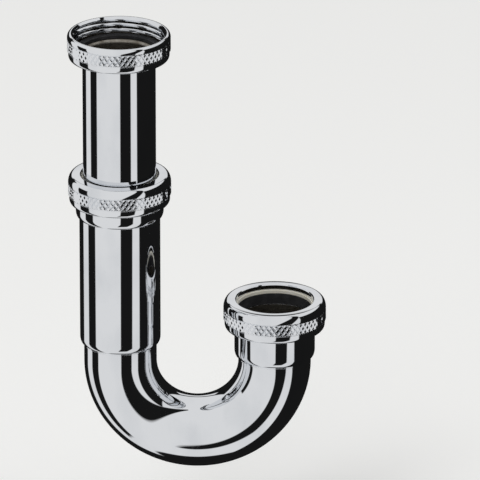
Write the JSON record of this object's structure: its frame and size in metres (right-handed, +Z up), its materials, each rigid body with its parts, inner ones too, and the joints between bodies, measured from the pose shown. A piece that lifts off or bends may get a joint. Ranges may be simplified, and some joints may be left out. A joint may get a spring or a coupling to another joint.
{
  "type": "tubular trap",
  "caption": "Tubular washbasin trap: a sliding inlet tube, a barrel and a U-bend, with knurled union nuts at the inlet, the height joint and the outlet.",
  "frame": {"origin": "on the inlet axis, at the upper face of the inlet gasket, where the washbasin waste's end lands", "axes": "+Z up the inlet leg, +X from the inlet leg to the outlet leg, so the bend lies in the XZ plane"},
  "size_m": [0.1132, 0.0452, 0.2031],
  "materials": {
    "chrome": "polished chrome plate on brass",
    "seal_rubber": "matt black moulded rubber",
    "slip_plastic": "natural white polyethylene"
  },
  "bodies": {
    "inlet": {"inlet_tube": "chrome", "inlet_gasket": "seal_rubber"},
    "inlet_nut": {"inlet_nut": "chrome"},
    "height_seal": {"height_cone_seal": "seal_rubber"},
    "trap": {"barrel": "chrome", "barrel_collar": "chrome", "trap_bend": "chrome", "outlet_socket": "chrome", "outlet_collar": "chrome", "outlet_cone_seal": "seal_rubber"},
    "height_slip_ring": {"height_slip_ring": "slip_plastic"},
    "height_nut": {"height_nut": "chrome"},
    "outlet_slip_ring": {"outlet_slip_ring": "slip_plastic"},
    "outlet_nut": {"outlet_nut": "chrome"}
  },
  "joints": [
    {"name": "inlet_nut_turn", "type": "hinge", "parent": "inlet", "child": "inlet_nut", "pos_m": [0, 0, 0], "axis": [0, 0, 1], "continuous": true},
    {"name": "height_slide", "type": "slide", "parent": "inlet", "child": "height_seal", "axis": [0, 0, 1], "range_m": [-0.035, 0.012]},
    {"name": "trap_swivel", "type": "hinge", "parent": "height_seal", "child": "trap", "pos_m": [0, 0, 0], "axis": [0, 0, 1], "continuous": true},
    {"name": "height_nut_rise", "type": "slide", "parent": "trap", "child": "height_slip_ring", "axis": [0, 0, 1], "range_m": [0, 0.00577]},
    {"name": "height_nut_turn", "type": "hinge", "parent": "height_slip_ring", "child": "height_nut", "pos_m": [0, 0, 0], "axis": [0, 0, 1], "range_deg": [0, 900]},
    {"name": "outlet_nut_rise", "type": "slide", "parent": "trap", "child": "outlet_slip_ring", "axis": [0, 0, 1], "range_m": [0, 0.00577]},
    {"name": "outlet_nut_turn", "type": "hinge", "parent": "outlet_slip_ring", "child": "outlet_nut", "pos_m": [0.068, 0, 0], "axis": [0, 0, 1], "range_deg": [0, 900]}
  ],
  "couplings": [
    {"joint": "height_nut_rise", "follows": "height_nut_turn", "m_per_rad": 0.0003675},
    {"joint": "outlet_nut_rise", "follows": "outlet_nut_turn", "m_per_rad": 0.0003675}
  ]
}
